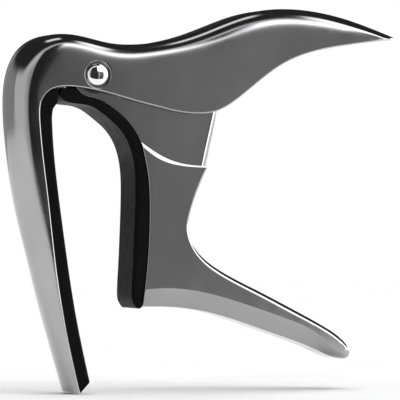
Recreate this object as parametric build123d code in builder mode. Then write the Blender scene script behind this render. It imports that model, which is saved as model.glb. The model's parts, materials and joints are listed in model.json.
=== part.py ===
"""Spring guitar capo: a curved clamp arm with a bird's-head handle, and a sprung lever with a neck pad.

Millimetres. X runs from the fretboard arm towards the handles, Z is up, Y is the depth of the capo.
The origin is the middle of the fretboard pad's contact face. The two castings are symmetric about Y = 0.
Outlines are drawn in the side plane, measured from the pivot axis.
"""
import os

from build123d import *

# ---- driving dimensions ----
PIVOT_X = 7.1  # pivot axis from the middle of the fretboard pad's face
PIVOT_Z = 41.0
BODY_WIDTH = 13.2  # upper body, over its two flat sides
ARM_TIP_WIDTH = 10.6  # fretboard arm, at its lower end
LEVER_WIDTH = 12.8  # lower lever, below its ledge
NECK_GAP = 0.4  # between the lever's neck and each side wall of the upper body's channel
CHEEK_WALL = 1.75  # each side wall of the upper body's channel
TAPER_TOP = -12.0  # below the pivot, where the arm starts to narrow
TAPER_END = -73.0
TAPER_OVERRUN = 0.2  # the taper's cut runs on by this share of its length

PIN_RADIUS = 2.0
PIN_HEAD_RADIUS = 2.5
PIN_TAIL_RADIUS = 1.3
PIN_DOME_HEIGHT = 0.7
PIN_HEAD_RIM = 0.55  # straight part of the head, under its dome
PIN_RECESS_RADIUS = 3.1
PIN_RECESS_DEPTH = 0.85
CAP_INSET = 0.05  # the cap's face stands this far inside the recess
CAP_EDGE = 0.3
HUB_RADIUS = 5.5
EAR_THICKNESS = 1.9  # each of the lever's two ears
BUSH_WALL = 0.7
BUSH_PLAY = 0.15  # between each bush's flange and the side wall beside it
BUSH_FLANGE_RADIUS = 4.3
PRESS = 0.01  # a pressed piece is this much larger than its hole
RUNNING_GAP = 0.05  # pin in its bushes, on the radius

WIRE_RADIUS = 0.5
COIL_RADIUS = 3.15  # to the middle of the wire
UPPER_LEG_ANGLE = 5.5  # above level, to the right, under the channel's roof
LOWER_LEG_ANGLE = -17.0
COIL_SPREAD = 1.08  # least step from turn to turn, against the wire's diameter
LEG_LENGTH = 10.6
LEG_ROOM = 2.0  # the slots are this much longer than the legs
EAR_ROOM = 1.0  # the slots run this far above the hub
KNEE_SHARE = 1.06  # the bend from coil to leg, against the wire's radius
SPRING_GAP = 0.3  # round the spring, in the pocket between the ears

PAD_INSET = 0.4  # each rubber side stands this far inside the metal beside it

BODY_HALF = BODY_WIDTH / 2
CHANNEL_HALF = BODY_HALF - CHEEK_WALL
LEVER_HALF = LEVER_WIDTH / 2
NECK_HALF = CHANNEL_HALF - NECK_GAP
BUSH_FLANGE = NECK_GAP - BUSH_PLAY
EAR_INNER = NECK_HALF - EAR_THICKNESS
HEAD_SEAT = BODY_HALF - PIN_RECESS_DEPTH
BUSH_BORE = PIN_RADIUS + RUNNING_GAP
BUSH_RADIUS = BUSH_BORE + BUSH_WALL
COIL_TOP = COIL_RADIUS + WIRE_RADIUS
POCKET_RADIUS = COIL_TOP + SPRING_GAP

# Upper body, from the arm's lower end over the shoulder and along the back of the handle:
# the outermost point, the point where the rounding has come down to the flat side,
# and how far from the middle plane the rounding starts, as a share of half the width.
BACK = [
    ((-5.9, -72.6), (-4.2, -72.8), 0.0),
    ((-9.5, -60.9), (-7.1, -60.9), 0.0),
    ((-12.2, -51.7), (-9.0, -51.8), 0.0),
    ((-14.6, -42.5), (-10.6, -42.4), 0.0),
    ((-18.0, -28.7), (-13.1, -28.6), 0.0),
    ((-19.6, -18.5), (-14.8, -18.6), 0.0),
    ((-20.4, -8.0), (-15.9, -8.0), 0.0),
    ((-19.9, -0.5), (-15.1, -1.5), 0.0),
    ((-17.1, 5.5), (-13.4, 2.2), 0.076),
    ((-13.6, 8.0), (-11.4, 4.9), 0.273),
    ((-7.7, 9.3), (-7.4, 6.6), 0.455),
    ((-1.5, 8.5), (-1.7, 5.6), 0.5),
    ((3.6, 7.4), (3.4, 4.5), 0.5),
    ((8.6, 7.1), (8.6, 4.2), 0.5),
    ((13.6, 7.5), (14.0, 4.8), 0.5),
    ((18.6, 8.4), (19.4, 5.7), 0.5),
    ((23.6, 9.8), (24.8, 7.0), 0.5),
    ((29.5, 12.0), (30.5, 8.8), 0.5),
    ((36.5, 14.5), (37.2, 11.1), 0.5),
    ((45.0, 15.9), (45.0, 12.6), 0.5),
    ((53.5, 15.6), (53.0, 12.4), 0.455),
    ((62.0, 14.0), (61.0, 11.4), 0.379),
    ((69.5, 11.7), (67.5, 10.2), 0.273),
    ((75.5, 9.6), (70.5, 9.3), 0.152),
]
# The arm's inner face, the corner under the shoulder, and the lower edge out to the handle's tip.
UNDERSIDE = [
    (69.0, 8.7),
    (60.6, 7.5),
    (51.2, 5.45),
    (43.4, 1.8),
    (37.2, -2.9),
    (31.2, -7.1),
    (26.4, -8.65),
    (21.0, -8.6),
    (11.6, -6.6),
    (3.2, -4.4),
    (-1.5, -3.4),
    (-7.0, -2.8),
    (-10.6, -3.3),
    (-13.0, -5.4),
    (-13.8, -9.0),
    (-13.2, -16.4),
    (-11.6, -28.7),
    (-9.6, -43.3),
    (-8.35, -52.1),
    (-6.7, -60.9),
    (-3.8, -72.9),
]
# Channel in the upper body, open downwards: its roof, from the left wall to the right wall,
# as heights over the top of the spring's coil.
ROOF_OVER_COIL = [(-7.2, -0.05), (-3.0, 2.45), (2.0, 2.2), (8.6, 1.3), (16.0, 1.85), (24.0, 3.95)]
CHANNEL_ROOF = [(x, COIL_TOP + height) for x, height in ROOF_OVER_COIL]
CHANNEL_END_RADIUS = 35.0  # right wall, an arc about the pivot that the neck's back swings inside
CHANNEL_END_TOP = 17.0  # degrees, where that arc meets the roof
CHANNEL_END_BOTTOM = -25.0

# Lower lever under its ledge: outermost point, point on the flat side, where the slope or rounding starts.
LEVER_BACK = [
    ((27.4, -20.85), (26.3, -21.2), 0.469),
    ((25.2, -25.3), (24.2, -25.2), 0.688),
    ((23.1, -30.4), (22.4, -30.3), 0.781),
    ((22.3, -35.2), (21.5, -35.4), 0.781),
    ((24.2, -40.0), (23.4, -40.7), 0.75),
    ((29.9, -44.8), (29.2, -45.8), 0.719),
    ((39.1, -49.5), (38.5, -50.6), 0.703),
    ((48.5, -54.2), (47.9, -55.4), 0.703),
    ((56.3, -58.3), (55.5, -59.3), 0.688),
    ((61.2, -61.9), (59.4, -62.1), 0.625),
    ((62.2, -64.2), (59.8, -63.1), 0.547),
]
LEVER_BOTTOM = [
    ((60.9, -65.3), (58.8, -62.7), 0.547),
    ((54.7, -63.7), (53.8, -59.7), 0.547),
    ((45.3, -60.2), (46.4, -56.3), 0.547),
    ((34.4, -56.5), (35.0, -52.5), 0.547),
    ((25.1, -54.1), (25.4, -49.9), 0.547),
    ((17.5, -53.3), (17.5, -48.95), 0.547),
    ((10.9, -53.2), (11.4, -49.2), 0.547),
]
# The seat of the neck pad on the lever, from the lever's foot up to the pad's tongue under the hub.
PAD_SEAT = [
    (10.9, -53.2),
    (11.8, -46.0),
    (12.4, -38.5),
    (12.6, -30.0),
    (12.2, -23.0),
    (10.6, -15.4),
    (6.8, -9.9),
    (1.6, -6.1),
]
SEAT_SPARE = 1.0  # the lever is drawn this much too far forward, and then cut back to the seat
LEDGE = [
    ((10.6, -15.4), (10.6, -16.6), 0.844),
    ((16.3, -18.9), (16.0, -19.7), 0.844),
    ((21.2, -20.4), (21.0, -20.8), 0.844),
]
NECK_TOP = [(4.3, 2.6), (9.4, -0.6), (15.0, -3.0), (21.0, -4.9), (29.3, -6.2)]
NECK_BACK = [(30.3, -8.4), (29.0, -14.0), (27.4, -20.9)]
NECK_FOOT = (24.0, -25.0)
# Neck pad: its concave contact face, from the tongue's tip down to the foot.
NECK_PAD_FACE = [
    (-8.5, -5.3),
    (-2.3, -7.0),
    (2.5, -9.7),
    (6.0, -12.9),
    (8.1, -16.6),
    (9.15, -21.0),
    (9.4, -28.7),
    (9.1, -37.5),
    (8.75, -44.8),
    (8.5, -49.6),
    (8.9, -52.4),
    (10.0, -53.7),
]
TONGUE_TIP = (-9.0, -4.2)
TONGUE_BACK = [(-1.2, -5.7), (-3.6, -4.7), (-5.6, -3.15), (-8.5, -3.1)]  # clear of the hub
# Fretboard pad: its contact face, from the free end up to the corner under the shoulder.
FRET_PAD_FACE = [(-1.3, -70.4), (-4.9, -54.2), (-7.1, -41.0), (-8.9, -28.7), (-10.5, -14.4), (-10.75, -9.6)]
FRET_PAD_TOP = [(-10.3, -7.5), (-9.4, -6.4), (-9.35, -5.0), (-9.4, -3.0)]
# Its back is drawn inside the arm, whose outline then cuts it back.
FRET_PAD_BACK = [(-14.5, -3.0), (-14.9, -9.0), (-12.7, -28.7), (-9.5, -52.0)]


def side_plane(y):
    """The side plane at depth y, with the pivot axis at its own origin and Z up."""
    return Plane(origin=(PIVOT_X, y, PIVOT_Z), x_dir=(1, 0, 0), z_dir=(0, -1, 0))


def rounded(stations, y, half_width):
    """The outline's points at depth y, on the quarter ellipses between the middle and the flat side."""
    points = []
    for outer, flat, share_at_start in stations:
        start = share_at_start * half_width
        run = max(0.0, abs(y) - start) / (half_width - start)
        share = 1 - (1 - min(run, 1.0) ** 2) ** 0.5
        points.append(tuple(a + (b - a) * share for a, b in zip(outer, flat)))
    return points


def sloped(stations, y, half_width):
    """The same for a bevel, which runs straight from the middle part to the flat side."""
    points = []
    for outer, flat, share_at_start in stations:
        start = share_at_start * half_width
        share = max(0.0, abs(y) - start) / (half_width - start)
        points.append(tuple(a + (b - a) * share for a, b in zip(outer, flat)))
    return points


def point_on_arc(radius, degrees):
    """The point at this radius and angle about the pivot, in the side plane."""
    turn = Vector(radius, 0).rotate(Axis.Z, degrees)
    return (turn.X, turn.Y)


def arm_sides(inset):
    """The four-cornered outline, in the front plane, of what the arm's taper takes off one side."""
    top = BODY_HALF - inset
    low = ARM_TIP_WIDTH / 2 - inset
    past = low - (top - low) * TAPER_OVERRUN
    below = TAPER_END + (TAPER_END - TAPER_TOP) * TAPER_OVERRUN
    return [(top, TAPER_TOP), (past, below), (BODY_WIDTH, below), (BODY_WIDTH, TAPER_TOP)]


front_plane = Plane(origin=(PIVOT_X, 0, PIVOT_Z), x_dir=(0, 1, 0), z_dir=(1, 0, 0))
pivot_axis = Axis((PIVOT_X, 0, PIVOT_Z), (0, 1, 0))
ARM_REACH = 30.0  # far enough along X for a cut across the arm

os.makedirs("parts", exist_ok=True)

# ---- upper body: fretboard arm, cheeks and bird's-head handle in one casting ----
LAYERS = [0.0, 0.5, 0.77, 0.9, 0.975, 1.0]  # depths of the outlines, as shares of the half width
depths = [-s * BODY_HALF for s in reversed(LAYERS)] + [s * BODY_HALF for s in LAYERS[1:]]
roof_end = point_on_arc(CHANNEL_END_RADIUS, CHANNEL_END_TOP)
mouth_right = point_on_arc(CHANNEL_END_RADIUS, CHANNEL_END_BOTTOM)
mouth_left = (CHANNEL_ROOF[0][0], mouth_right[1])

with BuildPart() as upper_body:
    for y in depths:
        back = rounded(BACK, y, BODY_HALF)
        with BuildSketch(side_plane(y)):
            with BuildLine():
                Spline(*back)
                Spline(back[-1], *UNDERSIDE)
                Line(UNDERSIDE[-1], back[0])
            make_face()
    loft()
    with BuildSketch(front_plane):
        with BuildLine():
            Polyline(*arm_sides(0), close=True)
        make_face()
        mirror(about=Plane.YZ)
    extrude(amount=ARM_REACH, both=True, mode=Mode.SUBTRACT)
    with BuildSketch(side_plane(0)):
        with BuildLine():
            Spline(*CHANNEL_ROOF, roof_end)
            ThreePointArc(roof_end, (CHANNEL_END_RADIUS, 0), mouth_right)
            Polyline(mouth_right, mouth_left, CHANNEL_ROOF[0])
        make_face()
    extrude(amount=CHANNEL_HALF, both=True, mode=Mode.SUBTRACT)
    with BuildSketch(side_plane(0)):
        Circle(PIN_RADIUS - PRESS)
    extrude(amount=BODY_WIDTH, both=True, mode=Mode.SUBTRACT)
    with BuildSketch(side_plane(-HEAD_SEAT), side_plane(BODY_HALF)):
        Circle(PIN_RECESS_RADIUS)
    extrude(amount=PIN_RECESS_DEPTH, mode=Mode.SUBTRACT)

# ---- lower lever: ledged body with a long tail, and a narrower neck up to the hub's two ears ----
LEVER_LAYERS = [0.547, 0.6875, 0.781, 0.844, 0.906, 0.953, 0.984, 1.0]  # as shares of the half width
lever_depths = [s * LEVER_HALF for s in LEVER_LAYERS]

with BuildPart() as lower_lever:
    for y in [-d for d in reversed(lever_depths)] + lever_depths:
        back = rounded(LEVER_BACK, y, LEVER_HALF)
        bottom = sloped(LEVER_BOTTOM, y, LEVER_HALF)
        ledge = sloped(LEDGE, y, LEVER_HALF)
        seat = [bottom[-1]] + PAD_SEAT[1:5] + [ledge[0]]
        spare = [(x - SEAT_SPARE, z) for x, z in seat]
        with BuildSketch(side_plane(y)):
            with BuildLine():
                Spline(*back)
                Spline(back[-1], *bottom)
                Polyline(bottom[-1], *spare, ledge[0])
                Spline(*ledge, back[0])
            make_face()
    loft(ruled=True)
    with BuildSketch(side_plane(0)):
        with BuildLine():
            Spline(*NECK_TOP)
            Spline(NECK_TOP[-1], *NECK_BACK)
            neck_front = [(x - SEAT_SPARE, z) for x, z in PAD_SEAT[4:-1]] + PAD_SEAT[-1:]
            inner_foot = (PAD_SEAT[4][0], NECK_FOOT[1])
            Polyline(NECK_BACK[-1], NECK_FOOT, inner_foot, *neck_front, (0, 0), NECK_TOP[0])
        make_face()
        Circle(HUB_RADIUS)
    extrude(amount=NECK_HALF, both=True)
    with BuildSketch(side_plane(0)):
        Circle(POCKET_RADIUS)
        with Locations(Rot(0, 0, LOWER_LEG_ANGLE)):
            Rectangle(LEG_LENGTH + LEG_ROOM, POCKET_RADIUS, align=(Align.MIN, Align.MAX))
        Rectangle(LEG_LENGTH + LEG_ROOM, HUB_RADIUS + EAR_ROOM, align=(Align.MIN, Align.MIN))
        Rectangle(POCKET_RADIUS, HUB_RADIUS + EAR_ROOM, align=(Align.MAX, Align.MIN))
    extrude(amount=EAR_INNER, both=True, mode=Mode.SUBTRACT)
    with BuildSketch(side_plane(0)):
        Circle(BUSH_RADIUS - PRESS)
    extrude(amount=BODY_WIDTH, both=True, mode=Mode.SUBTRACT)
    with BuildSketch(side_plane(0)):
        with BuildLine():
            Spline(*PAD_SEAT)
            jaw_side = PAD_SEAT[-1][0] - HUB_RADIUS
            below_foot = PAD_SEAT[0][1] - HUB_RADIUS
            Polyline(
                PAD_SEAT[-1],
                (jaw_side, PAD_SEAT[-1][1]),
                (jaw_side, below_foot),
                (PAD_SEAT[0][0], below_foot),
                PAD_SEAT[0],
            )
        make_face()
    extrude(amount=LEVER_WIDTH, both=True, mode=Mode.SUBTRACT)

# ---- rubber pads, glued to the two castings ----
with BuildPart() as fretboard_pad:
    with BuildSketch(side_plane(0)):
        with BuildLine():
            Spline(*FRET_PAD_FACE, *FRET_PAD_TOP)
            Polyline(FRET_PAD_TOP[-1], *FRET_PAD_BACK, UNDERSIDE[-1])
            Line(UNDERSIDE[-1], FRET_PAD_FACE[0])
        make_face()
        middle = rounded(BACK, 0, BODY_HALF)
        with BuildLine():
            Spline(*middle)
            Spline(middle[-1], *UNDERSIDE)
            Line(UNDERSIDE[-1], middle[0])
        make_face(mode=Mode.SUBTRACT)
    extrude(amount=BODY_HALF - PAD_INSET, both=True)
    with BuildSketch(front_plane):
        with BuildLine():
            Polyline(*arm_sides(PAD_INSET), close=True)
        make_face()
        mirror(about=Plane.YZ)
    extrude(amount=ARM_REACH, both=True, mode=Mode.SUBTRACT)

with BuildPart() as neck_pad:
    with BuildSketch(side_plane(0)):
        with BuildLine():
            Spline(TONGUE_TIP, *NECK_PAD_FACE)
            Line(NECK_PAD_FACE[-1], PAD_SEAT[0])
            Spline(*PAD_SEAT)
            Polyline(PAD_SEAT[-1], *TONGUE_BACK, TONGUE_TIP)
        make_face()
    extrude(amount=LEVER_HALF - PAD_INSET, both=True)

# ---- pivot: headed pin, the cap on its tail, and a flanged bush in each ear of the lever ----
with BuildPart() as pivot_pin:
    with BuildSketch(front_plane):
        rim = -HEAD_SEAT - PIN_HEAD_RIM
        with BuildLine():
            TangentArc((rim - PIN_DOME_HEIGHT, 0), (rim, PIN_HEAD_RADIUS), tangent=(0, 1))
            Polyline(
                (rim, PIN_HEAD_RADIUS),
                (-HEAD_SEAT, PIN_HEAD_RADIUS),
                (-HEAD_SEAT, PIN_RADIUS),
                (HEAD_SEAT, PIN_RADIUS),
                (HEAD_SEAT, PIN_TAIL_RADIUS),
                (HEAD_SEAT + PIN_HEAD_RIM, PIN_TAIL_RADIUS),
                (HEAD_SEAT + PIN_HEAD_RIM, 0),
                (rim - PIN_DOME_HEIGHT, 0),
            )
        make_face()
    revolve(axis=pivot_axis)

with BuildPart() as pin_cap:
    with BuildSketch(side_plane(BODY_HALF - CAP_INSET)):
        Circle(PIN_HEAD_RADIUS)
    extrude(amount=PIN_RECESS_DEPTH - CAP_INSET)
    fillet(pin_cap.edges().group_by(Axis.Y)[-1], CAP_EDGE)
    with BuildSketch(side_plane(HEAD_SEAT + PIN_HEAD_RIM)):
        Circle(PIN_TAIL_RADIUS - PRESS)
    extrude(amount=PIN_HEAD_RIM, mode=Mode.SUBTRACT)

with BuildPart() as front_bush:
    with BuildSketch(side_plane(-EAR_INNER)):
        Circle(BUSH_RADIUS)
    extrude(amount=EAR_THICKNESS)
    with BuildSketch(side_plane(-NECK_HALF)):
        Circle(BUSH_FLANGE_RADIUS)
    extrude(amount=BUSH_FLANGE)
    with BuildSketch(side_plane(0)):
        Circle(BUSH_BORE)
    extrude(amount=BODY_WIDTH, mode=Mode.SUBTRACT)

with BuildPart() as rear_bush:
    add(front_bush.part)
    mirror(about=Plane.XZ, mode=Mode.REPLACE)

# ---- torsion spring: a coil round the pin, one leg under the roof, one leg on the lever ----
part_turn = 180 - UPPER_LEG_ANGLE + LOWER_LEG_ANGLE
coil_room = 2 * (EAR_INNER - SPRING_GAP / 2 - WIRE_RADIUS)
coil_winds = int(coil_room / (2 * WIRE_RADIUS * COIL_SPREAD) - part_turn / 360)  # as many whole turns as fit
sweep_degrees = 360 * coil_winds + part_turn
coil_pitch = coil_room / (sweep_degrees / 360)
coil_plane = Plane(
    origin=(PIVOT_X, coil_room / 2, PIVOT_Z),
    x_dir=(Vector(1, 0, 0).rotate(Axis.Y, -90 - UPPER_LEG_ANGLE)),
    z_dir=(0, -1, 0),
)
coil_line = coil_plane.location * Helix(coil_pitch, coil_room, COIL_RADIUS)


def leg_plane(at, sign):
    """The plane that a leg starts from at one end of the coil, square to the depth of the capo."""
    along = coil_line % at
    return Plane(origin=coil_line @ at, z_dir=Vector(along.X, 0, along.Z) * sign)


with BuildPart() as torsion_spring:
    with BuildSketch(Plane(origin=coil_line @ 0, z_dir=coil_line % 0)):
        Circle(WIRE_RADIUS)
    sweep(path=coil_line)
    with Locations(coil_line @ 0, coil_line @ 1):
        Sphere(WIRE_RADIUS * KNEE_SHARE)
    with BuildSketch(leg_plane(0, -1), leg_plane(1, 1)):
        Circle(WIRE_RADIUS)
    extrude(amount=LEG_LENGTH)

for name, piece in [
    ("upper_body", upper_body),
    ("lower_lever", lower_lever),
    ("fretboard_pad", fretboard_pad),
    ("neck_pad", neck_pad),
    ("pivot_pin", pivot_pin),
    ("pin_cap", pin_cap),
    ("front_bush", front_bush),
    ("rear_bush", rear_bush),
    ("torsion_spring", torsion_spring),
]:
    piece.part.label = name
    export_step(piece.part, f"parts/{name}.step")
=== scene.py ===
"""Looks of the spring guitar capo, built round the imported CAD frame.

Everything is in metres in the part's frame. Outlines are drawn in the side plane as (x, z), in millimetres
from the pivot axis, and depths are millimetres from the middle plane.
"""
import json
from math import cos, pi, radians, sin

import bmesh
import bpy
import numpy as np
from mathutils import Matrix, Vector


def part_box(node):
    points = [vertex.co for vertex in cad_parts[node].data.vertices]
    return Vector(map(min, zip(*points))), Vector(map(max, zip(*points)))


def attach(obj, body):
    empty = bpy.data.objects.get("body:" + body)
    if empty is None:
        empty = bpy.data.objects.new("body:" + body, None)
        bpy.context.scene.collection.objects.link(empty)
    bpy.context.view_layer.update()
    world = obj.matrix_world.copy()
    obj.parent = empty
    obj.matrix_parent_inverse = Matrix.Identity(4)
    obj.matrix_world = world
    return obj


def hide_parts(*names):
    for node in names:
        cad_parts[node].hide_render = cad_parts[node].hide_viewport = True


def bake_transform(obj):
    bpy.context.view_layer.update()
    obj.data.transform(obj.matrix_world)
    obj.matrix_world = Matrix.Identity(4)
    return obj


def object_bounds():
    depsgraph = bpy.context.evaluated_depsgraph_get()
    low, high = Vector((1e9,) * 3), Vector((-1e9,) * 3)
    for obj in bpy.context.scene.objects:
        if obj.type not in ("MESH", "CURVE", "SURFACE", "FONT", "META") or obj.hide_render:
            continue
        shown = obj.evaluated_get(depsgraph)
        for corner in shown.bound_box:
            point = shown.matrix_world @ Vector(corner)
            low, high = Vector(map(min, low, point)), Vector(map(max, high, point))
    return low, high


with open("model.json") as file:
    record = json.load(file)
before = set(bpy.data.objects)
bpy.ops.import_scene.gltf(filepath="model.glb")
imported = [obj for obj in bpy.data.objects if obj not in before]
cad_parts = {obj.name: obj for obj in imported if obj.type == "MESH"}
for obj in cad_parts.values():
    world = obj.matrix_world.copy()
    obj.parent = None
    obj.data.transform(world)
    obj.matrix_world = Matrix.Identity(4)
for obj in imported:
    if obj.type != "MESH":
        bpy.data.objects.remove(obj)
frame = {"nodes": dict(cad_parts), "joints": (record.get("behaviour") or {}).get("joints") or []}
cad_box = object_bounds()

MM = 0.001
joint = next(j for j in frame["joints"] if j["name"] == "lever_pivot")
PIVOT = Vector(joint["pos_m"])
BODY, LEVER = "clamp_body", "lever"


def half_width(node):
    low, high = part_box(node)
    return (high[1] - low[1]) / 2 / MM


BODY_HALF = half_width("upper_body")
LEVER_HALF = half_width("lower_lever")
PAD_HALF = half_width("neck_pad")

# ---------------------------------------------------------------- outlines
# Upper body, from the arm's lower end over the shoulder to the handle's tip. Each station pairs a point
# of the back with the point across from it: outermost point, point where the rounding has come
# down to the flat side, depth where the rounding starts, and the underside's point.
BODY_STATIONS = [
    ((-5.9, -72.6), (-4.2, -72.8), 0.0, (-3.8, -72.9)),
    ((-9.5, -60.9), (-7.1, -60.9), 0.0, (-6.7, -60.9)),
    ((-12.2, -51.7), (-9.0, -51.8), 0.0, (-8.4, -52.1)),
    ((-14.6, -42.5), (-10.6, -42.4), 0.0, (-9.8, -43.3)),
    ((-18.0, -28.7), (-13.1, -28.6), 0.0, (-11.6, -28.7)),
    ((-19.6, -18.5), (-14.8, -18.6), 0.0, (-12.95, -18.5)),
    ((-20.4, -8.0), (-15.9, -8.0), 0.0, (-13.75, -9.6)),
    ((-19.9, -0.5), (-15.1, -1.5), 0.0, (-13.6, -7.0)),
    ((-17.1, 5.5), (-13.4, 2.2), 0.5, (-12.95, -5.4)),
    ((-13.6, 8.0), (-11.4, 4.9), 1.8, (-11.7, -3.95)),
    ((-7.7, 9.3), (-7.4, 6.6), 3.0, (-8.6, -2.9)),
    ((-1.5, 8.5), (-1.7, 5.6), 3.3, (-3.4, -3.1)),
    ((3.6, 7.4), (3.4, 4.5), 3.3, (3.0, -4.35)),
    ((8.6, 7.1), (8.6, 4.2), 3.3, (8.6, -5.85)),
    ((13.6, 7.5), (14.0, 4.8), 3.3, (14.0, -7.15)),
    ((18.6, 8.4), (19.4, 5.7), 3.3, (19.4, -8.35)),
    ((23.6, 9.8), (24.8, 7.0), 3.3, (24.8, -8.75)),
    ((29.5, 12.0), (30.5, 8.8), 3.3, (30.4, -7.55)),
    ((36.5, 14.5), (37.2, 11.1), 3.3, (37.2, -2.9)),
    ((45.0, 15.9), (45.0, 12.6), 3.3, (45.0, 2.75)),
    ((53.5, 15.6), (53.0, 12.4), 3.0, (53.0, 5.95)),
    ((62.0, 14.0), (61.0, 11.4), 2.5, (61.5, 7.6)),
    ((69.5, 11.7), (67.5, 10.2), 1.8, (68.8, 8.6)),
    ((75.4, 9.65), (70.5, 9.3), 1.0, (75.2, 9.3)),
]
# How far the underside's edge rounding leans back and where it starts, for the stations near the tip.
TIP_LEAN = [0.0] * 21 + [0.15, 1.2, 4.9]
TIP_START = [6.25] * 21 + [6.1, 5.5, 1.0]
BODY_RIBS = 330
EDGE_ROUND = 0.35  # rounding of the underside's edges
SIDE_DIP, DIP_LENGTH = 0.14, 1.2  # the flat sides run out softly towards the rounding of the back
ROUND_END = 83.0  # degrees of the rounding, where that run-out takes over
SIDE_STEPS, SIDE_CROWD = 12, 1.8  # steps down each flat side, and how much closer they are near the rounding
TAPER_TOP, TAPER_END, ARM_END_HALF = -12.0, -73.0, 5.3  # heights between which the arm narrows, and to what
TAPER_EASE = 0.05

# Channel between the cheeks, with an arc behind the lever's hub, and the round recesses of the pin's ends.
CHANNEL_HALF = 4.85
CHANNEL_ROOF = [(-7.2, 3.6), (-3.0, 6.1), (2.0, 5.85), (8.6, 4.95), (16.0, 5.5), (24.0, 7.6)]
CHANNEL_END_RADIUS, CHANNEL_END_TOP, CHANNEL_END_BOTTOM = 35.0, 17.0, -25.0
RECESS_RADIUS, RECESS_DEPTH, RECESS_LIP = 3.1, 0.85, 0.16

# Lever under its ledge: outermost point, point on the flat side, where the slope or rounding starts.
LEVER_BACK = [
    ((27.4, -20.85), (26.3, -21.2), 3.0),
    ((25.2, -25.3), (24.2, -25.2), 4.4),
    ((23.1, -30.4), (22.4, -30.3), 5.0),
    ((22.3, -35.2), (21.5, -35.4), 5.0),
    ((24.2, -40.0), (23.4, -40.7), 4.8),
    ((29.9, -44.8), (29.2, -45.8), 4.6),
    ((39.1, -49.5), (38.5, -50.6), 4.5),
    ((48.5, -54.2), (47.9, -55.4), 4.5),
    ((56.3, -58.3), (55.5, -59.3), 4.4),
    ((61.4, -61.8), (59.7, -62.2), 4.0),
    ((63.0, -64.6), (60.9, -63.8), 3.5),
]
LEVER_BOTTOM = [
    ((62.4, -65.7), (60.3, -64.2), 3.5),
    ((60.7, -65.9), (58.6, -63.3), 3.5),
    ((54.7, -63.7), (53.8, -59.7), 3.5),
    ((45.3, -60.2), (46.4, -56.3), 3.5),
    ((34.4, -56.5), (35.0, -52.5), 3.5),
    ((25.1, -54.1), (25.4, -49.9), 3.5),
    ((17.5, -53.3), (17.5, -48.95), 3.5),
    ((10.9, -53.2), (11.4, -49.2), 3.5),
]
RIM_RIBS, LEDGE_RIBS, SEAT_RIBS = 330, 70, 90
TIP_RIBS = 30  # ribs over which the tail's rounded tip turns into the slope along its bottom
SEAT_EDGE = 0.2  # how far the flat side stops short of the pad's seat
# The pad's seat, from the lever's foot up to the pad's tongue; the first points are on the lever's plate.
PAD_SEAT = [
    (10.9, -53.2),
    (11.8, -46.0),
    (12.4, -38.5),
    (12.6, -30.0),
    (12.2, -23.0),
    (10.6, -15.4),
    (6.8, -9.9),
    (1.6, -6.1),
]
LEDGE = [
    ((10.6, -15.4), (11.1, -16.6), 6.1),
    ((16.3, -18.9), (16.0, -19.7), 6.2),
    ((21.2, -20.4), (21.0, -20.85), 6.28),
    ((27.4, -20.85), (27.2, -21.2), 6.31),
]
PLATE_SEAT_POINTS = 6
# The narrower neck that turns in the channel, with the pocket between its ears for the spring.
NECK_HALF, NECK_EDGE, SMALL_EDGE, EAR_INNER = 4.45, 1.75, 0.25, 2.55
HUB_RADIUS, HUB_BEGIN, HUB_END, BUSH_HOLE = 5.5, 38, 249, 2.745
POCKET_RADIUS, POCKET_TOP, SLOT_LENGTH = 3.95, 6.6, 12.6
NECK_FRONT = [(1.6, -6.1), (6.8, -9.9), (10.6, -15.4), (12.2, -23.0)]
NECK_FOOT = [(12.4, -26.5), (24.0, -26.5)]
NECK_TOP = [(4.3, 2.6), (9.4, -0.6), (15.0, -3.0), (21.0, -4.9), (30.7, -6.5)]
NECK_BACK = [(30.7, -6.5), (30.3, -8.4), (29.0, -14.0), (27.4, -20.9)]

# Pads: pressing faces, from which the cushions' edges round over.
NECK_PAD_FACE = [
    (-9.0, -4.2),
    (-8.5, -5.3),
    (-2.3, -7.0),
    (2.5, -9.7),
    (6.0, -12.9),
    (8.1, -16.6),
    (9.15, -21.0),
    (9.4, -28.7),
    (9.1, -37.5),
    (8.75, -44.8),
    (8.5, -49.6),
    (8.9, -52.4),
    (10.0, -53.7),
]
TONGUE_BACK = [(-1.2, -5.7), (-3.6, -4.7), (-5.6, -3.15), (-8.5, -3.1)]
FRET_PAD_FACE = [(-1.3, -70.4), (-4.9, -54.2), (-7.1, -41.0), (-8.9, -28.7), (-10.5, -14.4), (-10.75, -9.6)]
FRET_PAD_TOP = [(-10.3, -7.5), (-9.4, -6.4), (-9.35, -5.0), (-9.4, -3.0)]
FRET_PAD_INSET = 0.4
FRET_PAD_BACK_TOP = -4.2

# Pin and its rear cap: the head's rim and dome, the cap's edge rounding, and the play that keeps faces apart.
PIN_RADIUS, HEAD_RADIUS, HEAD_RIM, DOME = 2.0, 2.5, 0.55, 0.7
PIN_BORE, PIN_BORE_DEPTH, PIN_PLAY = 1.3, 0.5, 0.02
CAP_INSET, CAP_EDGE, CAP_DIMPLE, CAP_DIMPLE_DEPTH = 0.05, 0.35, 1.1, 0.15

# Spring: wire and coil radii, the coil's turn and length, and its legs' angles and length.
WIRE, COIL_RADIUS, COIL_TURN, COIL_ROOM, COIL_POINTS = 0.5, 3.15, 1237.5, 3.8, 420
UPPER_LEG, LOWER_LEG, LEG_LENGTH, LEG_POINTS = 5.5, -17.0, 10.6, 40


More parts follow.
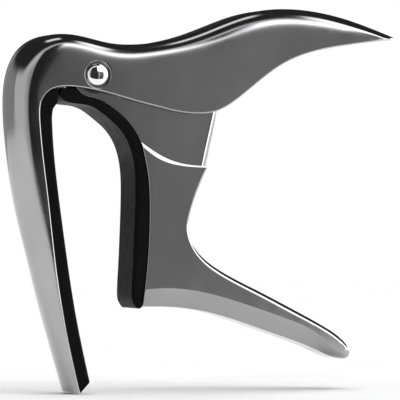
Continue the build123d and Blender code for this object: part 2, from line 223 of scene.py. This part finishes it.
# ---------------------------------------------------------------- mesh helpers
def dense(rows, count):
    """Natural cubic spline through rows of numbers, spread evenly by the length of the first two columns."""
    rows = np.array(rows, float)
    t = np.concatenate([[0.0], np.cumsum(np.linalg.norm(np.diff(rows[:, :2], axis=0), axis=1))])
    h = np.diff(t)
    system, right = np.eye(len(t)), np.zeros(rows.shape)
    for i in range(1, len(t) - 1):
        system[i, i - 1 : i + 2] = h[i - 1], 2 * (h[i - 1] + h[i]), h[i]
        right[i] = 6 * ((rows[i + 1] - rows[i]) / h[i] - (rows[i] - rows[i - 1]) / h[i - 1])
    bend = np.linalg.solve(system, right)
    s = np.linspace(0, t[-1], count)
    k = np.clip(np.searchsorted(t, s, side="right") - 1, 0, len(h) - 1)
    a, b, w = ((t[k + 1] - s) / h[k])[:, None], ((s - t[k]) / h[k])[:, None], (h[k] ** 2 / 6)[:, None]
    return a * rows[k] + b * rows[k + 1] + ((a**3 - a) * bend[k] + (b**3 - b) * bend[k + 1]) * w


def flat_rows(stations):
    """Stations ((x, z), (x, z), start) as rows of five numbers."""
    return [(*outer, *flat, start) for outer, flat, start in stations]


def inward(points, closed):
    """Unit normals of a line of points, pointing to the left of its way."""
    if closed:
        along = np.roll(points, -1, axis=0) - np.roll(points, 1, axis=0)
    else:
        along = np.gradient(points, axis=0)
    along /= np.linalg.norm(along, axis=1)[:, None] + 1e-12
    return np.stack([-along[:, 1], along[:, 0]], axis=1)


def to_frame(x, y, z):
    return PIVOT + Vector((x, y, z)) * MM


def make(name, points, faces):
    mesh = bpy.data.meshes.new(name)
    mesh.from_pydata([to_frame(*p) for p in points], [], faces)
    bm = bmesh.new()
    bm.from_mesh(mesh)
    bmesh.ops.remove_doubles(bm, verts=bm.verts, dist=2e-6)
    bmesh.ops.dissolve_degenerate(bm, edges=bm.edges, dist=1e-6)
    bmesh.ops.recalc_face_normals(bm, faces=bm.faces)
    bm.to_mesh(mesh)
    bm.free()
    obj = bpy.data.objects.new(name, mesh)
    bpy.context.scene.collection.objects.link(obj)
    return obj


def settled(obj):
    """The object's mesh with its modifiers applied."""
    bpy.context.view_layer.update()
    done = bpy.data.meshes.new_from_object(obj.evaluated_get(bpy.context.evaluated_depsgraph_get()))
    obj.modifiers.clear()
    obj.data = done
    return obj


def cleaned(obj):
    """Joins the points that a cut leaves on top of each other, and splits faces with many corners."""
    bm = bmesh.new()
    bm.from_mesh(obj.data)
    bmesh.ops.remove_doubles(bm, verts=bm.verts, dist=4e-6)
    bmesh.ops.dissolve_degenerate(bm, edges=bm.edges, dist=2e-6)
    bmesh.ops.triangulate(bm, faces=[f for f in bm.faces if len(f.verts) > 4], ngon_method="EAR_CLIP")
    bm.to_mesh(obj.data)
    bm.free()
    return obj


def boolean(obj, other, kind):
    mod = obj.modifiers.new(kind, "BOOLEAN")
    mod.operation, mod.solver, mod.object = kind, "EXACT", other
    settled(obj)
    bpy.data.objects.remove(other)
    return cleaned(obj)


def smooth(obj, degrees=32):
    """Smooth shading with sharp edges over an angle and round each flat side, which keeps its own shading."""
    for p in obj.data.polygons:
        p.use_smooth = True
    obj.data.set_sharp_from_angle(angle=radians(degrees))
    bm = bmesh.new()
    bm.from_mesh(obj.data)
    for e in bm.edges:
        level = [abs(f.normal.y) > 0.99999 for f in e.link_faces]
        if len(level) == 2 and level[0] != level[1]:
            e.smooth = False
    bm.to_mesh(obj.data)
    bm.free()
    mod = obj.modifiers.new("weights", "WEIGHTED_NORMAL")
    mod.keep_sharp, mod.mode, mod.weight = True, "FACE_AREA", 100
    return settled(obj)


TURN = np.linspace(0, 1, 15)  # steps round each edge


def rings(layers, size):
    """Quads between each layer of a closed ring of points and the next layer."""
    return [
        (a * size + i, a * size + (i + 1) % size, b * size + (i + 1) % size, b * size + i)
        for a, b in zip(layers, layers[1:])
        for i in range(size)
    ]


def ribs(name, outer, flat, start, half, bevel=None):
    """A closed plate: every outline point has a rib, from the middle out to its point on each flat side.

    A rib is rounded where bevel is 0 and straight where it is 1.
    """
    count = len(outer)
    bevel = np.zeros(count) if bevel is None else bevel
    points = []
    for side in (-1, 1):
        for u in TURN:
            run = (1 - bevel) * sin(u * pi / 2) + bevel * u
            share = (1 - bevel) * (1 - cos(u * pi / 2)) + bevel * u
            y = side * (start + (half - start) * run)
            p = outer + (flat - outer) * share[:, None]
            points += [(p[i, 0], y[i], p[i, 1]) for i in range(count)]
    layers = list(range(len(TURN) - 1, -1, -1)) + list(range(len(TURN), 2 * len(TURN)))
    faces = rings(layers, count)
    faces.append([layers[0] * count + i for i in range(count)])
    faces.append([layers[-1] * count + i for i in range(count)])
    return make(name, points, faces)


def evened(pieces, step=0.16, blur=0.3):
    """One closed outline of rows (x, z, ...), with its corners eased by blur millimetres."""
    rows = np.concatenate(pieces)
    keep = np.linalg.norm(np.roll(rows, -1, axis=0)[:, :2] - rows[:, :2], axis=1) > 1e-4
    rows = rows[keep]
    looped = np.vstack([rows, rows[:1]])
    t = np.concatenate([[0.0], np.cumsum(np.linalg.norm(np.diff(looped[:, :2], axis=0), axis=1))])
    count = int(t[-1] / step)
    s = np.arange(count) * t[-1] / count
    even = np.stack([np.interp(s, t, looped[:, c]) for c in range(rows.shape[1])], axis=1)
    reach = int(4 * blur / step) + 1
    weights = np.exp(-0.5 * (np.arange(-reach, reach + 1) * step / blur) ** 2)
    weights /= weights.sum()
    return sum(w * np.roll(even, k, axis=0) for k, w in zip(range(-reach, reach + 1), weights))


def with_radius(points, radius):
    """Points (x, z) as rows (x, z, edge radius)."""
    return np.hstack([np.array(points, float), np.full((len(points), 1), radius)])


def cushion(name, pieces, half):
    """A moulded rubber pad: pieces are rows (x, z, edge radius), in order round its outline.

    The edge radius stays under the outline's own bends, so that no rounding crosses itself.
    """
    rows = evened(pieces)
    outline, radius = rows[:, :2], rows[:, 2].copy()
    area = np.sum(outline[:, 0] * np.roll(outline[:, 1], -1) - np.roll(outline[:, 0], -1) * outline[:, 1])
    if area < 0:
        outline, radius = outline[::-1], radius[::-1]
    normal = inward(outline, True)
    ahead = np.roll(outline, -1, 0) - outline
    turn = np.cross(outline - np.roll(outline, 1, 0), ahead)
    steps = np.linalg.norm(ahead, axis=1)
    bend = np.maximum(turn / steps**2, 1e-6) / steps
    bound = np.minimum(radius, 0.8 / bend)
    for _ in range(6):
        bound = np.minimum(bound, np.minimum(np.roll(bound, 1), np.roll(bound, -1)) + 0.05)
    for _ in range(4):
        bound = (np.roll(bound, 1) + bound + np.roll(bound, -1)) / 3
    return ribs(name, outline, outline + normal * bound[:, None], half - bound, half)


def prism(name, outline, half):
    """A straight block with this outline in the side plane."""
    count = len(outline)
    points = [(x, y, z) for y in (-half, half) for x, z in outline]
    return make(name, points, rings((0, 1), count) + [list(range(count)), list(range(count, 2 * count))])


def revolved(name, profile, sides=96):
    """A turned piece about the pivot: profile is rows (y, radius), with radius 0 at its ends."""
    angles = [2 * pi * k / sides for k in range(sides)]
    points = [(r * cos(a), y, r * sin(a)) for y, r in profile for a in angles]
    return make(name, points, rings(range(len(profile)), sides))


def circle_points(radius, begin, end, count):
    return [(radius * cos(radians(a)), radius * sin(radians(a))) for a in np.linspace(begin, end, count)]


def tube(name, path, radius, sides=16):
    """A round wire along a path of points (x, y, z)."""
    path = np.array(path, float)
    along = np.gradient(path, axis=0)
    along /= np.linalg.norm(along, axis=1)[:, None]
    side = np.cross(along[0], (0.0, 1.0, 0.0))
    points = []
    for at, way in zip(path, along):
        side = side - way * np.dot(side, way)
        side /= np.linalg.norm(side)
        up = np.cross(way, side)
        for k in range(sides):
            a = 2 * pi * k / sides
            points.append(tuple(at + radius * (cos(a) * side + sin(a) * up)))
    last = (len(path) - 1) * sides
    ends = [list(range(sides)), list(range(last, last + sides))]
    return make(name, points, rings(range(len(path)), sides) + ends)


# ---------------------------------------------------------------- materials
class Tree:
    """A material's nodes, added by type with their inputs."""

    def __init__(self, name):
        self.mat = bpy.data.materials.new(name)
        self.mat.use_nodes = True
        self.nodes, self.links = self.mat.node_tree.nodes, self.mat.node_tree.links
        self.shader = self.nodes["Principled BSDF"]
        self.place = self.add("ShaderNodeTexCoord").outputs["Object"]

    def add(self, kind, inputs=(), **settings):
        node = self.nodes.new(kind)
        for key, value in settings.items():
            setattr(node, key, value)
        for key, value in dict(inputs).items():
            if isinstance(value, bpy.types.NodeSocket):
                self.links.new(value, node.inputs[key])
            else:
                node.inputs[key].default_value = value
        return node

    def noise(self, scale, detail=4.0, stretch=None):
        at = self.place
        if stretch:
            at = self.add("ShaderNodeMapping", {"Vector": at, "Scale": stretch}).outputs["Vector"]
        return self.add("ShaderNodeTexNoise", {"Vector": at, "Scale": scale, "Detail": detail}).outputs["Fac"]

    def between(self, value, low, high, near=0.3, far=0.7):
        inputs = {"Value": value, "From Min": near, "From Max": far, "To Min": low, "To Max": high}
        return self.add("ShaderNodeMapRange", inputs).outputs["Result"]

    def tint(self, value, dark, light):
        ramp = self.add("ShaderNodeValToRGB", {"Fac": value})
        ramp.color_ramp.elements[0].position, ramp.color_ramp.elements[1].position = 0.3, 0.7
        ramp.color_ramp.elements[0].color, ramp.color_ramp.elements[1].color = (*dark, 1), (*light, 1)
        return ramp.outputs["Color"]

    def bump(self, height, strength, depth, under=None):
        inputs = {"Height": height, "Strength": strength, "Distance": depth}
        if under:
            inputs["Normal"] = under
        return self.add("ShaderNodeBump", inputs).outputs["Normal"]

    def wire(self, **sockets):
        names = {"color": "Base Color", "rough": "Roughness", "normal": "Normal"}
        for key, value in sockets.items():
            self.links.new(value, self.shader.inputs[names[key]])
        return self.mat


def dark_plating():
    t = Tree("dark_plating")
    t.shader.inputs["Metallic"].default_value = 1.0
    color = t.tint(t.noise(90), (0.385, 0.383, 0.39), (0.425, 0.42, 0.422))
    rough = t.between(t.noise(260, 6.0, (1, 1, 0.4)), 0.1, 0.15)
    waves = t.bump(t.noise(42, 1.0), 0.5, 0.0003)
    return t.wire(color=color, rough=rough, normal=t.bump(t.noise(3200, 3.0), 0.06, 0.00001, waves))


def black_rubber():
    t = Tree("black_rubber")
    t.shader.inputs["Specular IOR Level"].default_value = 0.06
    color = t.tint(t.noise(240), (0.0018, 0.0018, 0.002), (0.0035, 0.0035, 0.0038))
    rough = t.between(t.noise(500), 0.4, 0.52)
    grain = t.bump(t.noise(2600, 5.0), 0.35, 0.00005)
    return t.wire(color=color, rough=rough, normal=t.bump(t.noise(160, 2.0), 0.25, 0.00012, grain))


def bright_chrome():
    t = Tree("bright_chrome")
    t.shader.inputs["Metallic"].default_value = 1.0
    color = t.tint(t.noise(300), (0.82, 0.82, 0.83), (0.88, 0.88, 0.885))
    rough = t.between(t.noise(900), 0.03, 0.075)
    return t.wire(color=color, rough=rough, normal=t.bump(t.noise(1500, 3.0), 0.08, 0.00001))


def bush_nylon():
    t = Tree("bush_nylon")
    color = t.tint(t.noise(400), (0.016, 0.016, 0.017), (0.03, 0.03, 0.031))
    rough = t.between(t.noise(800), 0.38, 0.5)
    return t.wire(color=color, rough=rough, normal=t.bump(t.noise(3000, 4.0), 0.2, 0.00002))


def spring_steel():
    t = Tree("spring_steel")
    t.shader.inputs["Metallic"].default_value = 1.0
    color = t.tint(t.noise(700, 4.0, (1, 3, 1)), (0.42, 0.42, 0.43), (0.56, 0.56, 0.56))
    rough = t.between(t.noise(1200, 4.0), 0.2, 0.34)
    return t.wire(color=color, rough=rough, normal=t.bump(t.noise(4000, 3.0), 0.2, 0.00001))


PLATING, RUBBER, CHROME = dark_plating(), black_rubber(), bright_chrome()
NYLON, STEEL = bush_nylon(), spring_steel()


def finished(obj, material, slot, body, *nodes):
    """Gives a piece its material and its body, and hides the CAD nodes that it stands for. The slot is not
    used.
    """
    obj.data.materials.clear()
    obj.data.materials.append(material)
    if body:
        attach(obj, body)
    if nodes:
        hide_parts(*nodes)
    return obj


# ---------------------------------------------------------------- upper body
def arm_share(z, half):
    """The share of the half width that is left at a height, which falls softly down the arm."""
    down = max(0.0, (TAPER_TOP - z) / (TAPER_TOP - TAPER_END))
    return 1 - (1 - ARM_END_HALF / half) * (1 + TAPER_EASE) * down**2 / (down + TAPER_EASE)


def body_rings():
    """Closed rings across the upper body: over the back, down one side, under it and up the other side."""
    columns = [
        (*outer, *flat, start, *under, lean, low)
        for (outer, flat, start, under), lean, low in zip(BODY_STATIONS, TIP_LEAN, TIP_START)
    ]
    rows = dense(columns, BODY_RIBS)
    outer, flat, start, under = rows[:, 0:2], rows[:, 2:4], np.clip(rows[:, 4], 0, None), rows[:, 5:7]
    lean, low = np.clip(rows[:, 7], 0, None), np.clip(rows[:, 8], 0.9, BODY_HALF - EDGE_ROUND)
    normal = inward(under, False)
    way = np.stack([normal[:, 1], -normal[:, 0]], axis=1)
    normal *= np.sign(np.sum(normal * (flat - under), axis=1))[:, None]
    ease = np.clip(np.linalg.norm(flat - under, axis=1) * 0.45, 0.02, EDGE_ROUND)
    wall = under + normal * ease[:, None] - way * lean[:, None]
    turns = [(-1, u) for u in TURN[::-1]] + [(1, u) for u in TURN]
    shares = [(k / SIDE_STEPS) ** SIDE_CROWD for k in range(1, SIDE_STEPS)]
    end_run, end_share = sin(radians(ROUND_END)), 1 - cos(radians(ROUND_END))
    loops = []
    for i in range(len(rows)):
        back, below, sides = [], [], []
        drop = np.linalg.norm(wall[i] - flat[i])
        dip = SIDE_DIP * min(1.0, drop / (3 * DIP_LENGTH))
        for side, u in turns:
            turn = radians(u * ROUND_END)
            run, share = sin(turn) / end_run, (1 - cos(turn)) / end_share
            p = outer[i] + (flat[i] - outer[i]) * share
            back.append((p[0], side * (start[i] + (BODY_HALF - dip - start[i]) * run), p[1]))
            run, share = sin(u * pi / 2), 1 - cos(u * pi / 2)
            p = under[i] + (wall[i] - under[i]) * share
            below.append((p[0], side * (low[i] + (BODY_HALF - low[i]) * run), p[1]))
        for side in (-1, 1):
            line = []
            for share in shares:
                p = flat[i] + (wall[i] - flat[i]) * share
                line.append((p[0], side * (BODY_HALF - dip * np.exp(-share * drop / DIP_LENGTH)), p[1]))
            sides.append(line)
        loop = back + sides[1] + below[::-1] + sides[0][::-1]
        loops.append([(x, y * arm_share(z, BODY_HALF), z) for x, y, z in loop])
    return loops


def upper_body():
    loops = body_rings()
    points = [p for loop in loops for p in loop]
    size, n, across = len(loops[0]), 2 * len(TURN), SIDE_STEPS
    faces = rings(range(len(loops)), size)
    for base in (0, (len(loops) - 1) * size):
        top = [base + k for k in range(n)]
        bottom = [base + n + across - 1 + (n - 1 - k) for k in range(n)]
        faces += [(top[k], top[k + 1], bottom[k + 1], bottom[k]) for k in range(n - 1)]
        faces.append([base + n - 1 + k for k in range(across + 1)])
        faces.append([base + 2 * n + across - 2 + k for k in range(across)] + [base])
    body = make("upper_body_shell", points, faces)
    arc = circle_points(CHANNEL_END_RADIUS, CHANNEL_END_TOP, CHANNEL_END_BOTTOM, 60)
    roof = [tuple(p) for p in dense([*CHANNEL_ROOF, arc[0]], 80)]
    mouth = [arc[-1], (CHANNEL_ROOF[0][0], arc[-1][1])]
    boolean(body, prism("channel", roof + arc[1:] + mouth[1:], CHANNEL_HALF), "DIFFERENCE")
    outside, seat = -BODY_HALF - 1, -BODY_HALF + RECESS_DEPTH
    profile = [(outside, 0), (outside, RECESS_RADIUS + RECESS_LIP)]
    for a in np.linspace(0, pi / 2, 9):
        profile.append((-BODY_HALF + RECESS_LIP * (1 - cos(a)), RECESS_RADIUS + RECESS_LIP * (1 - sin(a))))
    profile += [(seat, RECESS_RADIUS), (seat, PIN_RADIUS), (0, PIN_RADIUS), (0, 0)]
    boolean(body, revolved("front_recess", profile), "DIFFERENCE")
    boolean(body, revolved("rear_recess", [(-y, r) for y, r in profile]), "DIFFERENCE")
    return finished(smooth(body), PLATING, "dark_plating", BODY, "upper_body")


# ---------------------------------------------------------------- lever
def lever_plate():
    """The lever under its ledge, with its tail."""
    rim = dense(flat_rows(LEVER_BACK + LEVER_BOTTOM), RIM_RIBS)
    past_tip = np.clip((np.arange(len(rim)) - np.argmax(rim[:, 0])) / TIP_RIBS, 0, 1)[:-1]
    slope = past_tip**2 * (3 - 2 * past_tip)
    ledge = dense(flat_rows(LEDGE), LEDGE_RIBS)
    seat = dense(PAD_SEAT[:PLATE_SEAT_POINTS], SEAT_RIBS)
    edge = np.clip(seat[:, 1], LEVER_BOTTOM[-1][1][1], LEDGE[0][1][1])
    edge = np.stack([np.interp(edge, seat[:, 1], seat[:, 0]) + SEAT_EDGE, edge], axis=1)
    inner = np.hstack([seat, edge, np.full((len(seat), 1), LEVER_HALF - SEAT_EDGE)])
    rows = np.vstack([rim[:-1], inner[1:-1], ledge[:-1]])
    bevel = np.concatenate([slope, np.zeros(len(inner) - 2), np.ones(len(ledge) - 1)])
    return ribs("lower_lever_shell", rows[:, 0:2], rows[:, 2:4], rows[:, 4], LEVER_HALF, bevel)


def lever_neck():
    """The neck and its hub, with a large rounding down the rear and small ones elsewhere."""
    hub = circle_points(HUB_RADIUS, HUB_BEGIN, HUB_END, 90)
    front = dense([hub[-1], *NECK_FRONT], 60)
    top, rear = dense(NECK_TOP, 60), dense(NECK_BACK, 60)
    lines = [with_radius(line, SMALL_EDGE) for line in (hub, front[1:], NECK_FOOT)]
    lines += [with_radius(rear[::-1], NECK_EDGE), with_radius(top[::-1][1:], SMALL_EDGE)]
    rows = evened(lines, blur=0.22)
    outline, radius = rows[:, :2], rows[:, 2]
    flat = outline + inward(outline, True) * radius[:, None]
    return ribs("neck", outline, flat, NECK_HALF - radius, NECK_HALF)


def lower_lever():
    lever = boolean(lever_plate(), lever_neck(), "UNION")
    turn = radians(LOWER_LEG)
    way, down = np.array([cos(turn), sin(turn)]), np.array([sin(turn), -cos(turn)]) * POCKET_RADIUS
    slot_end = way * SLOT_LENGTH
    pocket = [(-POCKET_RADIUS, POCKET_TOP), (SLOT_LENGTH, POCKET_TOP), (SLOT_LENGTH, 0)]
    pocket += [tuple(slot_end), tuple(slot_end + down)]
    pocket += circle_points(POCKET_RADIUS, 270 + LOWER_LEG, 180, 30)
    boolean(lever, prism("pocket", pocket, EAR_INNER), "DIFFERENCE")
    bore = [(-BODY_HALF, 0), (-BODY_HALF, BUSH_HOLE), (BODY_HALF, BUSH_HOLE), (BODY_HALF, 0)]
    boolean(lever, revolved("bush_bore", bore), "DIFFERENCE")
    return finished(smooth(lever, 11), PLATING, "dark_plating", LEVER, "lower_lever")


# ---------------------------------------------------------------- pads
def neck_pad():
    face = dense(NECK_PAD_FACE, 220)
    edge = np.clip((-face[:, 1] - 4.5) / 9.0, 0, 1)
    face = np.hstack([face, (0.3 + 0.6 * edge)[:, None]])
    seat = dense(PAD_SEAT, 160)
    heel, seat_edge = with_radius([(10.9, -53.4)], 0.5), with_radius(seat, 0.12)
    tongue = [with_radius([seat[-1]], 0.2), with_radius(TONGUE_BACK, 0.2)]
    pad = cushion("neck_pad_rubber", [face, heel, seat_edge, *tongue], PAD_HALF)
    finished(smooth(pad, 50), RUBBER, "black_rubber", LEVER, "neck_pad")


def fretboard_pad():
    half = BODY_HALF - FRET_PAD_INSET
    face = with_radius(dense(FRET_PAD_FACE, 200), 0.7)
    top = with_radius(dense([FRET_PAD_FACE[-1], *FRET_PAD_TOP], 60)[1:], 0.35)
    back = dense([station[3] for station in BODY_STATIONS[:10]], 220)
    back = back[back[:, 1] < FRET_PAD_BACK_TOP]
    pad = cushion("fretboard_pad_rubber", [face, top, with_radius(back[::-1], 0.1)], half)
    for v in pad.data.vertices:
        z = (v.co.z - PIVOT.z) / MM
        v.co.y = PIVOT.y + (v.co.y - PIVOT.y) * (arm_share(z, BODY_HALF) * BODY_HALF - FRET_PAD_INSET) / half
    finished(smooth(pad, 50), RUBBER, "black_rubber", BODY, "fretboard_pad")


# ---------------------------------------------------------------- pivot
def pivot():
    seat = -BODY_HALF + RECESS_DEPTH
    rim = seat - HEAD_RIM
    dome = [(rim - DOME * cos(a), HEAD_RADIUS * sin(a)) for a in np.linspace(0, pi / 2, 22)]
    shank, bore = PIN_RADIUS - PIN_PLAY, -seat + PIN_BORE_DEPTH
    pin = [*dome, (seat, HEAD_RADIUS), (seat, shank), (-seat, shank)]
    pin += [(-seat, PIN_BORE), (bore, PIN_BORE), (bore, 0)]
    finished(smooth(revolved("pivot_pin_chrome", pin), 40), CHROME, "bright_chrome", BODY, "pivot_pin")
    front, back = -seat + PIN_PLAY, BODY_HALF - CAP_INSET
    cap = [(front, 0), (front, HEAD_RADIUS)]
    for a in np.linspace(0, pi / 2, 9):
        cap.append((back - CAP_EDGE * (1 - sin(a)), HEAD_RADIUS - CAP_EDGE * (1 - cos(a))))
    cap += [(back, CAP_DIMPLE), (back - 0.8 * CAP_DIMPLE_DEPTH, CAP_DIMPLE - 0.25)]
    cap.append((back - CAP_DIMPLE_DEPTH, 0))
    finished(smooth(revolved("pin_cap_chrome", cap), 40), CHROME, "bright_chrome", BODY, "pin_cap")


def spring():
    depth = np.linspace(COIL_ROOM / 2, -COIL_ROOM / 2, COIL_POINTS)
    circle = circle_points(COIL_RADIUS, 90 + UPPER_LEG, 90 + UPPER_LEG + COIL_TURN, COIL_POINTS)
    coil = np.array([(x, y, z) for (x, z), y in zip(circle, depth)])
    reach = np.linspace(LEG_LENGTH, 0, LEG_POINTS)[:-1, None]
    upper = coil[0] + reach * np.array([cos(radians(UPPER_LEG)), 0, sin(radians(UPPER_LEG))])
    lower = coil[-1] + reach[::-1] * np.array([cos(radians(LOWER_LEG)), 0, sin(radians(LOWER_LEG))])
    wire = smooth(tube("torsion_spring_wire", np.vstack([upper, coil, lower]), WIRE), 50)
    finished(wire, STEEL, "spring_steel", None, "torsion_spring")
    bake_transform(wire)


upper_body()
lower_lever()
neck_pad()
fretboard_pad()
pivot()
spring()
for node in ("front_bush", "rear_bush"):
    frame["nodes"][node].data.materials.clear()
    frame["nodes"][node].data.materials.append(NYLON)

# ---------------------------------------------------------------- studio
VIEW_TURN = radians(20)
to_camera = Vector((-sin(VIEW_TURN), -cos(VIEW_TURN), 0))
screen_right = Vector((cos(VIEW_TURN), -sin(VIEW_TURN), 0))
AIM_RIGHT, AIM_DOWN = 25.5, 28.66  # the picture's middle from the pivot, in millimetres
DISTANCE, VIEW_WIDTH = 0.8, 0.092
centre = PIVOT + (screen_right * AIM_RIGHT - Vector((0, 0, AIM_DOWN))) * MM
camera = bpy.data.objects.new("camera", bpy.data.cameras.new("camera"))
camera.data.sensor_width = 36
camera.data.lens = camera.data.sensor_width * DISTANCE / VIEW_WIDTH
camera.data.clip_start, camera.data.clip_end = 0.05, 20
camera.location = centre + to_camera * DISTANCE
camera.rotation_euler = (-to_camera).to_track_quat("-Z", "Y").to_euler()
bpy.context.scene.collection.objects.link(camera)
bpy.context.scene.camera = camera


FLOOR_GAP = 0.2 * MM
FLOOR_CORNERS = [(-0.6, -0.3), (0.7, -0.3), (0.7, 0.9), (-0.6, 0.9)]


def floor():
    """Plain pale paper under the capo, and one soft lamp over it that the plating doesn't mirror."""
    level = cad_box[0][2] - FLOOR_GAP
    mesh = bpy.data.meshes.new("floor")
    mesh.from_pydata([(x, y, level) for x, y in FLOOR_CORNERS], [], [(0, 1, 2, 3)])
    obj = bpy.data.objects.new("floor", mesh)
    bpy.context.scene.collection.objects.link(obj)
    t = Tree("floor_paper")
    color = t.tint(t.noise(30), (0.9, 0.9, 0.9), (0.93, 0.93, 0.93))
    t.wire(color=color, rough=t.between(t.noise(50), 0.6, 0.7))
    mesh.materials.append(t.mat)
    lamp = bpy.data.lights.new("ceiling", "SUN")
    lamp.energy, lamp.angle = 2.5, radians(80)
    ceiling = bpy.data.objects.new("ceiling", lamp)
    ceiling.visible_glossy = False
    bpy.context.scene.collection.objects.link(ceiling)


floor()


def studio_world():
    """Soft boxes and dark flags round the object, as bands of direction; the camera itself sees white."""
    world = bpy.data.worlds.new("studio")
    world.use_nodes = True
    bpy.context.scene.world = world
    nodes, links = world.node_tree.nodes, world.node_tree.links

    def math(kind, *values):
        node = nodes.new("ShaderNodeMath")
        node.operation = kind
        for k, value in enumerate(values):
            if isinstance(value, bpy.types.NodeSocket):
                links.new(value, node.inputs[k])
            else:
                node.inputs[k].default_value = value
        return node.outputs[0]

    way = nodes.new("ShaderNodeSeparateXYZ")
    links.new(nodes.new("ShaderNodeTexCoord").outputs["Generated"], way.inputs[0])
    x, y, z = way.outputs
    front = math("MULTIPLY", y, -1.0)
    degrees = 180 / pi
    left = math("MULTIPLY", math("ARCTAN2", math("MULTIPLY", x, -1.0), front), degrees)
    pitch = math("MULTIPLY", math("ARCTAN2", z, front), degrees)
    level = math("MULTIPLY", math("ARCSINE", z), degrees)

    light = ROOM_LIGHT
    for share, strength in panels(math, left, pitch, level, x):
        rest = math("MULTIPLY", light, math("SUBTRACT", 1.0, share))
        light = math("ADD", rest, math("MULTIPLY", share, strength))
    seen = nodes.new("ShaderNodeLightPath").outputs["Is Camera Ray"]
    light = math("ADD", math("MULTIPLY", light, math("SUBTRACT", 1.0, seen)), seen)
    back = nodes["Background"]
    links.new(light, back.inputs["Strength"])
    back.inputs["Color"].default_value = (1, 1, 1, 1)


ROOM_LIGHT = 1.0


def panels(math, left, pitch, level, x):
    """Each panel as its share of a direction and its brightness, later ones over earlier ones.

    left is degrees round from the front, pitch degrees up from the front and on over the top, level degrees
    above the horizon, and x the direction's share to the right.
    """
    def limit(value):
        return math("MINIMUM", math("MAXIMUM", value, 0.0), 1.0)

    def band(value, low, high, soft):
        """1 inside low..high, falling to 0 over soft on each side."""
        up = math("SMOOTH_MIN", math("DIVIDE", math("SUBTRACT", value, low - soft), soft), 1.0, 0.2)
        down = math("SMOOTH_MIN", math("DIVIDE", math("SUBTRACT", high + soft, value), soft), 1.0, 0.2)
        return math("MULTIPLY", math("MAXIMUM", up, 0.0), math("MAXIMUM", down, 0.0))

    def patch(value, edges, other, other_edges):
        return math("MULTIPLY", band(value, *edges), band(other, *other_edges))

    def share(way, begin, length):
        """From 0 to 1 over a length of degrees, turning left (way 1) or right (way -1) from begin."""
        return limit(math("DIVIDE", math("MULTIPLY", math("SUBTRACT", left, begin), way), length))

    card = math("SUBTRACT", 0.37, math("MULTIPLY", share(-1, -21.3, 2.6), 0.22))
    card = math("MULTIPLY", share(-1, -15.6, 4.6), card)
    low_right = math("MULTIPLY", share(-1, -20.8, 1.4), limit(math("SUBTRACT", -0.9, level)))
    card = math("MULTIPLY", card, math("SUBTRACT", 1.0, math("MULTIPLY", low_right, 0.6)))
    soft_box = math("ADD", 0.42, math("MULTIPLY", share(1, 17, 30), 0.46))
    return [
        (band(pitch, 46, 190, 8), 0.035),  # dark above and behind
        (band(level, -95, -12, 6), 1.0),  # white below
        (patch(left, (19, 96, 3), level, (-60, 20, 9)), soft_box),  # left soft box
        (patch(left, (104, 175, 12), level, (-30, 20, 9)), 0.42),  # dimmer light behind it
        (patch(left, (-138, -40, 6), level, (-60, 12, 6)), 3.4),  # right soft box
        (patch(pitch, (15, 30, 4), x, (0.24, 1.0, 0.12)), 3.0),  # strip light above the camera
        (patch(pitch, (13, 64, 6), x, (0.47, 0.97, 0.06)), 3.0),  # its wider end on the right
        (patch(pitch, (78, 92, 4), x, (-0.2, 0.12, 0.05)), 1.6),  # narrow light overhead
        (patch(left, (-36, 17, 5), level, (-24, 8, 5)), card),  # grey card before the flat sides
        (patch(left, (-15, 16, 1.5), level, (-34, 30, 4)), 0.03),  # black flag beside the camera
    ]


studio_world()
bpy.context.scene.view_settings.view_transform = "Standard"
bpy.context.scene.view_settings.look = "None"
